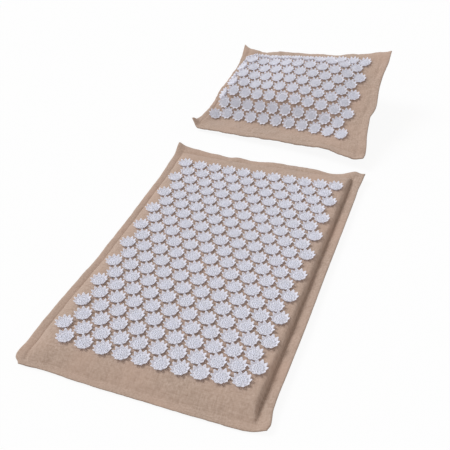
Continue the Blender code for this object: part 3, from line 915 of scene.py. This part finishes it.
def ramp_node(tree, tone, places, colours):
    """Colour of a tone, from two colours at two places of a ramp."""
    ramp = add_node(tree, "ShaderNodeValToRGB", {"Fac": tone})
    for element, place, colour in zip(ramp.color_ramp.elements, places, colours):
        element.position = place
        element.color = (*colour, 1)
    return ramp.outputs["Color"]


def bump_node(tree, height, strength, distance):
    values = {"Height": height, "Strength": strength, "Distance": distance}
    return add_node(tree, "ShaderNodeBump", values).outputs["Normal"]


def mix_shaders(tree, share, first, second):
    return add_node(tree, "ShaderNodeMixShader", {0: share, 1: first, 2: second}).outputs[0]


def new_material(name):
    material = bpy.data.materials.new(name)
    material.use_nodes = True
    tree = material.node_tree
    return material, tree, tree.nodes["Principled BSDF"], tree.nodes["Material Output"]


def linen_material():
    """Plain-woven linen: threads over and under, thick places in them, and heathered colour."""
    material, tree, shader, _ = new_material("linen_woven")
    place = add_node(tree, "ShaderNodeUVMap", {}, uv_map="flat").outputs["UV"]
    split = add_node(tree, "ShaderNodeSeparateXYZ", {0: place})
    threads = []
    for axis in (0, 1):
        phase = math_node(tree, "MULTIPLY", split.outputs[axis], math.pi / linen_thread)
        threads.append(math_node(tree, "SINE", phase))
    weave = math_node(tree, "ABSOLUTE", math_node(tree, "MULTIPLY", *threads))
    slubs = math_node(tree, "ADD", *(noise_node(tree, place, scale) for scale in linen_slub_scales))
    mottle = noise_node(tree, place, linen_mottle_scale)
    tone = math_node(tree, "MULTIPLY", slubs, linen_slub_share)
    tone = math_node(tree, "MULTIPLY_ADD", mottle, linen_mottle_share, tone)
    tone = math_node(tree, "MULTIPLY_ADD", weave, linen_weave_share, tone)
    colour = ramp_node(tree, tone, linen_ramp_shares, (linen_dark, linen_light))
    broad = noise_node(tree, place, linen_warm_scale, linen_warm_detail)
    warm = math_node(tree, "MULTIPLY_ADD", broad, linen_warm_gain, linen_warm_offset)
    warm = math_node(tree, "MAXIMUM", warm, 0)
    warm = math_node(tree, "MINIMUM", warm, linen_warm_most)
    mixed = {"Factor": warm, "A": colour, "B": (*linen_warm, 1)}
    height = math_node(tree, "MULTIPLY_ADD", mottle, linen_mottle_height, slubs)
    height = math_node(tree, "MULTIPLY_ADD", weave, linen_weave_height, height)
    feed(tree, shader, {
        "Base Color": add_node(tree, "ShaderNodeMix", mixed, data_type="RGBA").outputs["Result"],
        "Roughness": linen_roughness,
        "Sheen Weight": linen_sheen,
        "Sheen Roughness": linen_sheen_roughness,
        "Specular IOR Level": linen_specular,
        "Normal": bump_node(tree, height, linen_bump_strength, linen_bump)})
    return material


def disk_material():
    """Moulded white plastic with a cool cast that lets some light through."""
    material, tree, shader, output = new_material("disk_plastic_moulded")
    coordinates = tree.nodes.new("ShaderNodeTexCoord").outputs["Object"]
    grain = noise_node(tree, coordinates, disk_grain_scale)
    colour = ramp_node(tree, grain, disk_ramp_shares, (disk_shade, disk_light))
    feed(tree, shader, {
        "Base Color": colour,
        "Roughness": disk_roughness,
        "Specular IOR Level": disk_specular,
        "Normal": bump_node(tree, grain, disk_bump_strength, disk_bump)})
    through = add_node(tree, "ShaderNodeBsdfTranslucent", {"Color": colour}).outputs[0]
    feed(tree, output, {"Surface": mix_shaders(tree, disk_through_share, shader.outputs[0], through)})
    return material


def plain_material(name, finish, metallic=0):
    """Fine-grained material: noise in its colour, roughness and surface."""
    colour, roughness, scale, contrast, bump = finish
    material, tree, shader, _ = new_material(name)
    coordinates = tree.nodes.new("ShaderNodeTexCoord").outputs["Object"]
    grain = noise_node(tree, coordinates, scale, plain_detail)
    low = tuple(part * (1 - contrast) for part in colour)
    high = tuple(min(1, part * (1 + contrast)) for part in colour)
    smoothest = roughness - plain_roughness_range / 2
    feed(tree, shader, {
        "Base Color": ramp_node(tree, grain, plain_ramp_shares, (low, high)),
        "Roughness": math_node(tree, "MULTIPLY_ADD", grain, plain_roughness_range, smoothest),
        "Metallic": metallic,
        "Normal": bump_node(tree, grain, plain_bump_strength, bump)})
    return material


# Stage, light and camera

def backdrop_shader(tree, surface, white):
    """Mixes white in for camera, glossy and transmitted rays, and keeps the shadow."""
    path = tree.nodes.new("ShaderNodeLightPath")
    seen = math_node(tree, "MAXIMUM", path.outputs["Is Camera Ray"], path.outputs["Is Glossy Ray"])
    seen = math_node(tree, "MAXIMUM", seen, path.outputs["Is Transmission Ray"])
    share = math_node(tree, "MULTIPLY", seen, white)
    glow = add_node(tree, "ShaderNodeEmission", {"Color": (1, 1, 1, 1), "Strength": 1}).outputs[0]
    return mix_shaders(tree, share, surface, glow)


def add_stage():
    """White floor under the object and a white world round it."""
    signs = ((-1, -1), (1, -1), (1, 1), (-1, 1))
    corners = [(floor_half * sign_x, floor_half * sign_y, -gap) for sign_x, sign_y in signs]
    floor = add_mesh("floor", corners, [(0, 1, 2, 3)])
    material, tree, shader, output = new_material("floor_white")
    feed(tree, shader, {"Base Color": (*floor_colour, 1), "Roughness": floor_roughness})
    feed(tree, output, {"Surface": backdrop_shader(tree, shader.outputs[0], floor_white_share)})
    floor.data.materials.append(material)

    world = bpy.data.worlds.new("studio")
    bpy.context.scene.world = world
    world.use_nodes = True
    tree = world.node_tree
    background = tree.nodes["Background"]
    feed(tree, background, {"Color": (*sky_colour, 1), "Strength": sky_strength})
    mixed = backdrop_shader(tree, background.outputs[0], sky_white_share)
    feed(tree, tree.nodes["World Output"], {"Surface": mixed})


def add_key_light():
    """Broad sun from the left."""
    lamp = bpy.data.lights.new("key", "SUN")
    lamp.energy = key_strength
    lamp.angle = key_spread
    lamp.color = key_colour
    item = add_object("key", lamp)
    item.rotation_euler = Vector(key_direction).to_track_quat("Z", "Y").to_euler()


def add_camera():
    """Camera of the photo."""
    camera = bpy.data.cameras.new("camera")
    camera.lens = camera_lens
    camera.sensor_width = sensor_width
    item = add_object("camera", camera)
    item.location = camera_place
    aim = (Vector(camera_target) - Vector(camera_place)).to_track_quat("-Z", "Y")
    item.rotation_euler = (aim.to_matrix() @ Matrix.Rotation(camera_roll, 3, "Z")).to_euler()
    bpy.context.scene.camera = item


# The two cushions

def walk(profile, distance):
    """Flat coordinate reached by following the cloth for a distance from the middle."""
    place = 0.0
    for _ in range(walk_steps):
        slope = (profile(place + slope_step) - profile(place - slope_step)) / (2 * slope_step)
        place += distance / walk_steps / math.hypot(1, slope)
    return place


def on_pillow(distance_x, distance_y):
    """Place of a disk on the flat cloth, from its distances along the cloth."""
    def form(x, y):
        return pillow_seam_height(x, y) + pillow_crown(x, y)

    row_y = walk(lambda y: form(0, y), distance_y)
    place_x = walk(lambda x: form(x, row_y), distance_x)
    return place_x, walk(lambda y: form(place_x, y), distance_y)


def add_cover(body, edges, flange, place, centres):
    """Top cover with its disks, its seam stitches and the settled cloth between them."""
    edge_x, edge_y = edges
    seam = (edge_x - flange, edge_y - flange)
    columns = filled(cover_stops(edge_x, flange), grid_step)
    rows = filled(cover_stops(edge_y, flange), grid_step)
    cover = add_sheet(f"{body}_linen_cover", columns, rows, place)
    settle(cover, held_places(columns, rows, seam, centres))
    thicken(cover)
    finish_piece(cover, body, linen)
    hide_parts(f"{body}_top_cover")
    disks = add_disk_field(f"{body}_spike_disks", centres, place)
    finish_piece(disks, body, disk_plastic)
    stitches = add_stitches(f"{body}_seam_stitches", seam_sides(*seam), place, 1)
    finish_piece(stitches, body, thread)
    return cover


def add_underside(body, edges, flange, place, base, zip_y, slot_half):
    """Both back panels with their stitches, and the zip between them."""
    edge_x, edge_y = edges
    steps = (zip_slot / 2, zip_slot / 2 + zip_hem, zip_slot / 2 + zip_hem + zip_slope)

    def outside_slot(x, y):
        return abs(x) > slot_half or abs(y - zip_y) > zip_slot / 2

    columns = filled(sorted({*cover_stops(edge_x, flange), -slot_half, slot_half}), grid_step)
    for side, sign in (("foot", -1), ("head", 1)):
        stops = [zip_y + sign * gap / 2, *(zip_y + sign * step for step in steps)]
        stops.extend(stop for stop in cover_stops(edge_y, flange) if sign * (stop - zip_y) > steps[-1])
        rows = filled(sorted(stops), grid_step)
        panel = add_sheet(f"{body}_back_linen_{side}", columns, rows, place, False, outside_slot)
        thicken(panel)
        finish_piece(panel, body, linen)
        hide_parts(f"{body}_back_panel_{side}")
        tape, coil = add_tape(body, side, sign, base, zip_y, slot_half)
        finish_piece(tape, body, tape_cloth)
        finish_piece(coil, body, coil_nylon)
        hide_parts(f"{body}_zip_tape_{side}")
    lines = seam_sides(edge_x - flange, edge_y - flange)
    for sign in (-1, 1):
        hem_y = zip_y + sign * (zip_slot / 2 + zip_hem / 2)
        lines.append(((-slot_half, hem_y), (slot_half, hem_y)))
    stitches = add_stitches(f"{body}_back_stitches", lines, place, -1)
    finish_piece(stitches, body, thread)


def add_mat():
    """The mat: foam slab, covers, disks and zip."""
    base = Matrix.Identity(4)
    top = placed(mat_outline, mat_top, base)
    bottom = placed(mat_outline, mat_bottom, base)
    centres = [drifted(x, y) for x, y in lattice(mat_rows, mat_long_row, mat_long_row - 1)]
    edges = (mat_edge_x, mat_edge_y)

    def foam_top(x, y):
        return top(x, y) - Vector((0, 0, padding_inset))

    def foam_bottom(x, y):
        return bottom(x, y) + Vector((0, 0, padding_inset))

    half_x = mat_seam_x - padding_rim
    half_y = mat_seam_y - padding_rim
    foam = add_padding("mat_foam", half_x, half_y, foam_top, foam_bottom)
    finish_piece(foam, "mat", foam_open)
    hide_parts("mat_foam_slab")
    cover = add_cover("mat", edges, mat_flange, top, centres)
    slot_half = mat_seam_x - mat_zip_margin
    add_underside("mat", edges, mat_flange, bottom, base, mat_zip_y, slot_half)


def add_pillow():
    """The pillow: filling, covers, disks and zip."""
    base = Matrix.Translation((pillow_x, pillow_y, 0)) @ Matrix.Rotation(pillow_turn, 4, "Z")
    top = placed(pillow_outline, pillow_top, base)
    bottom = placed(pillow_outline, pillow_bottom, base)
    centres = []
    for x, y in lattice(pillow_rows, pillow_long_row, pillow_long_row):
        along_row = x * pillow_gather_share + pillow_field_offset_x
        centres.append(on_pillow(along_row, y + pillow_field_offset_y))
    edges = (pillow_edge_x, pillow_edge_y)

    def filling_top(x, y):
        slope_x = (pillow_top(x + slope_step, y) - pillow_top(x - slope_step, y)) / (2 * slope_step)
        slope_y = (pillow_top(x, y + slope_step) - pillow_top(x, y - slope_step)) / (2 * slope_step)
        return top(x, y) - Vector((0, 0, padding_inset * math.hypot(1, slope_x, slope_y)))

    def filling_bottom(x, y):
        nearer_x = x + math.copysign(padding_inset, x)
        nearer_y = y + math.copysign(padding_inset, y)
        raised = pillow_bottom(nearer_x, nearer_y) + padding_inset
        return base @ Vector((*pillow_outline(x, y), raised))

    half_x = pillow_seam_x - padding_rim
    half_y = pillow_seam_y - padding_rim
    filling = add_padding("pillow_stuffing", half_x, half_y, filling_top, filling_bottom)
    finish_piece(filling, "pillow", filling_fleece)
    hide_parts("pillow_filling")
    cover = add_cover("pillow", edges, pillow_flange, top, centres)
    slot_half = pillow_seam_x - pillow_zip_margin
    add_underside("pillow", edges, pillow_flange, bottom, base, pillow_zip_y, slot_half)


def dress_metal(nodes):
    """Gives the sliders, pulls and end stops of the CAD model their cast metal."""
    for name, node in nodes.items():
        if name.endswith(("_slider", "_pull", "_stop_closed", "_stop_open")):
            for slot in node.material_slots:
                slot.material = cast_metal


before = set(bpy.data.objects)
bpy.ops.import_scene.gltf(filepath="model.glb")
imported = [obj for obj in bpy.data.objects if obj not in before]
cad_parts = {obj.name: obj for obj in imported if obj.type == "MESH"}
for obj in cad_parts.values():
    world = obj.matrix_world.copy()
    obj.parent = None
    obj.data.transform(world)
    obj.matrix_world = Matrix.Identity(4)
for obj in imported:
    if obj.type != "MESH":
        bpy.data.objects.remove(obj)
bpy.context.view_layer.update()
bpy.context.scene.view_settings.view_transform = "Standard"
add_camera()
add_stage()
add_key_light()
linen = linen_material()
disk_plastic = disk_material()
thread = plain_material("thread_cotton", thread_finish)
tape_cloth = plain_material("tape_woven", tape_finish)
coil_nylon = plain_material("coil_nylon", coil_finish)
foam_open = plain_material("foam_open_cell", foam_finish)
filling_fleece = plain_material("filling_fleece", filling_finish)
cast_metal = plain_material("cast_metal", metal_finish, metallic=1)
add_mat()
add_pillow()
dress_metal(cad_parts)
